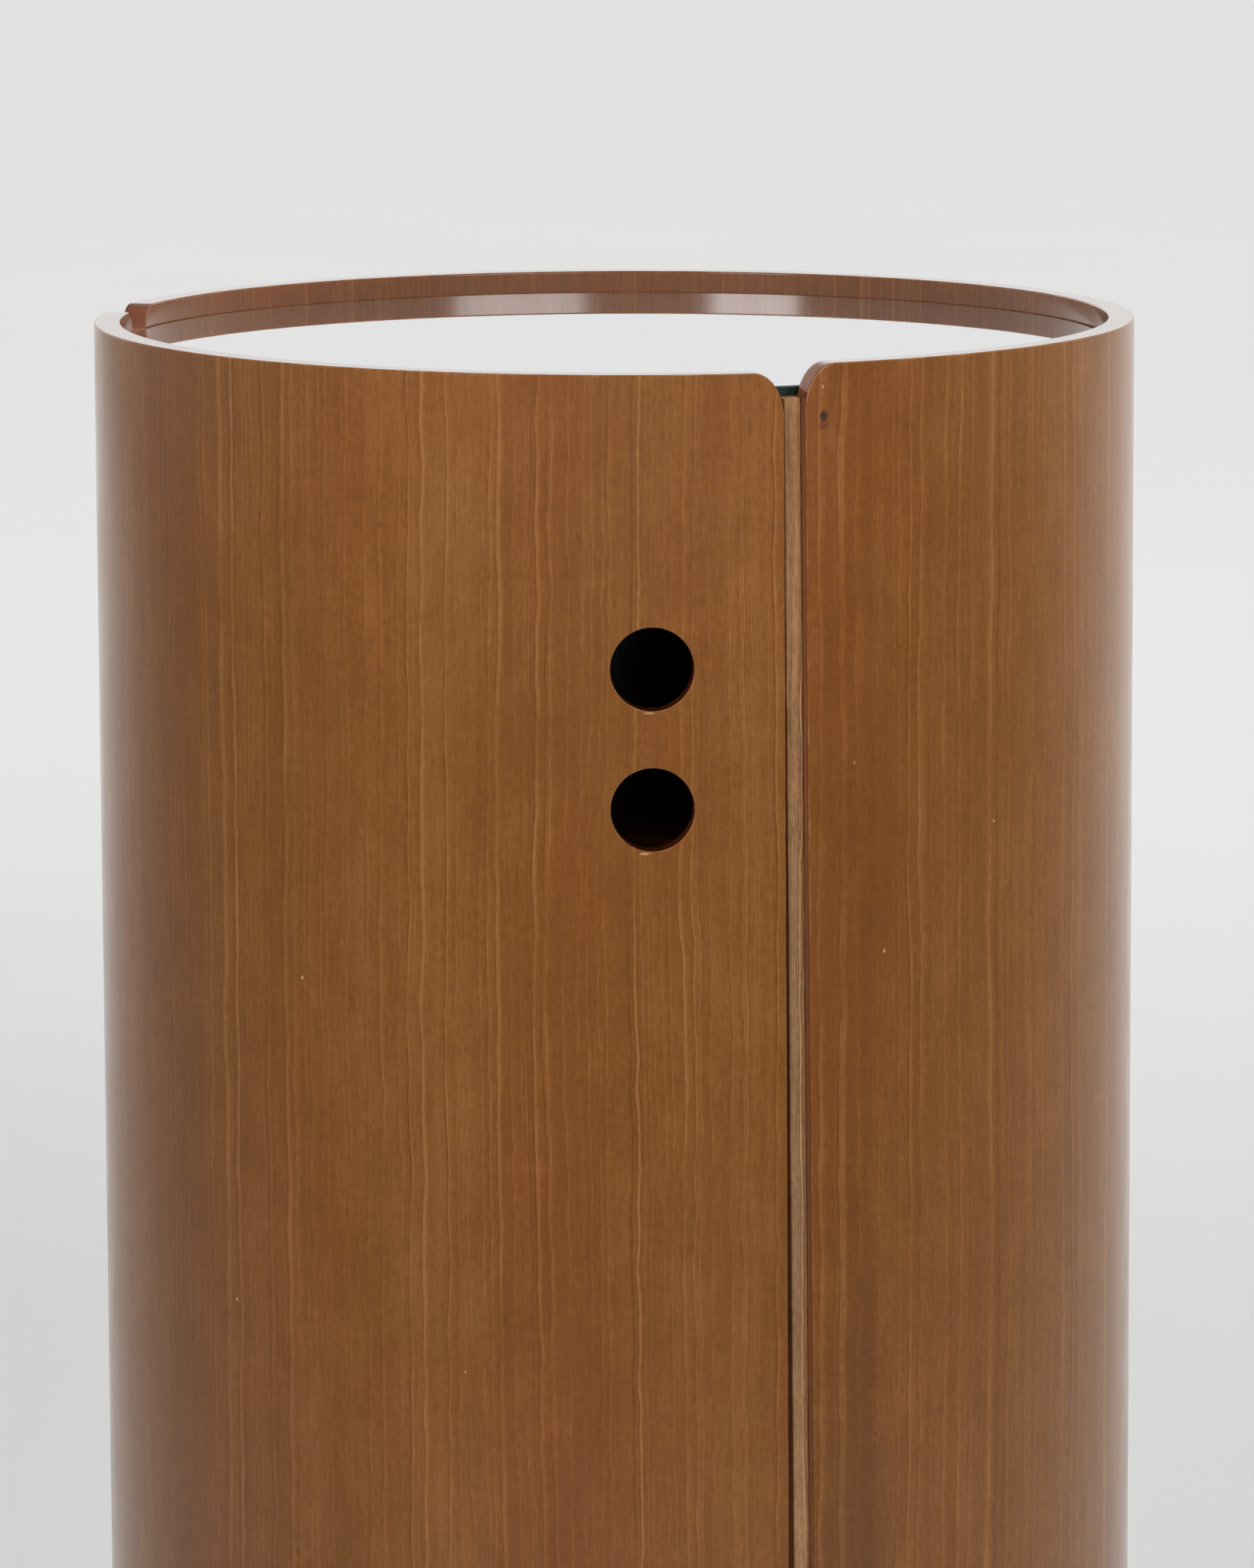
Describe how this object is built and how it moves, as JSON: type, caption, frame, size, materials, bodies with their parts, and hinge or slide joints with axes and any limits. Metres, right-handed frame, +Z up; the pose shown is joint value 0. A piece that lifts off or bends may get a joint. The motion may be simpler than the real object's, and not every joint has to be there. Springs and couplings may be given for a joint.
{
  "type": "round bar cabinet",
  "caption": "Free-standing round bar cabinet of bent veneered plywood: a tall cylinder with a curved hinged door, finger holes and a mirrored top set below its rim.",
  "frame": {"origin": "centre of the footprint, on the floor that the glides stand on", "axes": "+Z up along the cabinet's axis, -Y towards the front, where the picture was taken from, +X to the right"},
  "size_m": [0.5, 0.5, 0.9],
  "materials": {
    "shell_veneer": "satin lacquered walnut veneer, grain upright",
    "strip_wood": "matt oiled solid wood",
    "panel_veneer": "satin lacquered veneer",
    "block_wood": "plain sanded wood",
    "plinth_lacquer": "black satin lacquer",
    "mirror_glass": "silvered glass with a green ground edge",
    "brass": "brushed brass",
    "steel": "zinc plated",
    "catch_plastic": "brown moulded",
    "ferrite": "dull grey",
    "glide_plastic": "black moulded"
  },
  "bodies": {
    "carcass": {"bottom_blocks": "block_wood", "bottom_disc": "panel_veneer", "catch_housing": "catch_plastic", "catch_magnet": "ferrite", "catch_poles": "steel", "catch_screws": "steel", "fixed_shell": "shell_veneer", "floor_glides": "glide_plastic", "front_batten": "strip_wood", "hinge_screws_fixed": "brass", "hinge_stile": "strip_wood", "lower_hinge_fixed_leaf": "brass", "lower_hinge_pin": "brass", "lower_shelf": "panel_veneer", "middle_hinge_fixed_leaf": "brass", "middle_hinge_pin": "brass", "mirror_top": "mirror_glass", "plinth_blocks": "block_wood", "plinth_ring": "plinth_lacquer", "shelf_cleats": "block_wood", "top_blocks": "block_wood", "top_disc": "panel_veneer", "upper_hinge_fixed_leaf": "brass", "upper_hinge_pin": "brass", "upper_shelf": "panel_veneer"},
    "door": {"door_shell": "shell_veneer", "hinge_screws_door": "brass", "catch_strike": "steel", "strike_screws": "steel", "lower_tray": "panel_veneer", "upper_tray": "panel_veneer", "tray_cleats": "block_wood", "tray_screws": "brass", "gallery_posts": "brass", "gallery_rails": "brass", "lower_hinge_door_leaf": "brass", "middle_hinge_door_leaf": "brass", "upper_hinge_door_leaf": "brass"}
  },
  "joints": [
    {"name": "door_hinge", "type": "hinge", "parent": "carcass", "child": "door", "pos_m": [-0.23306, 0.04569, 0], "axis": [0, 0, -1], "range_deg": [0, 95]}
  ]
}
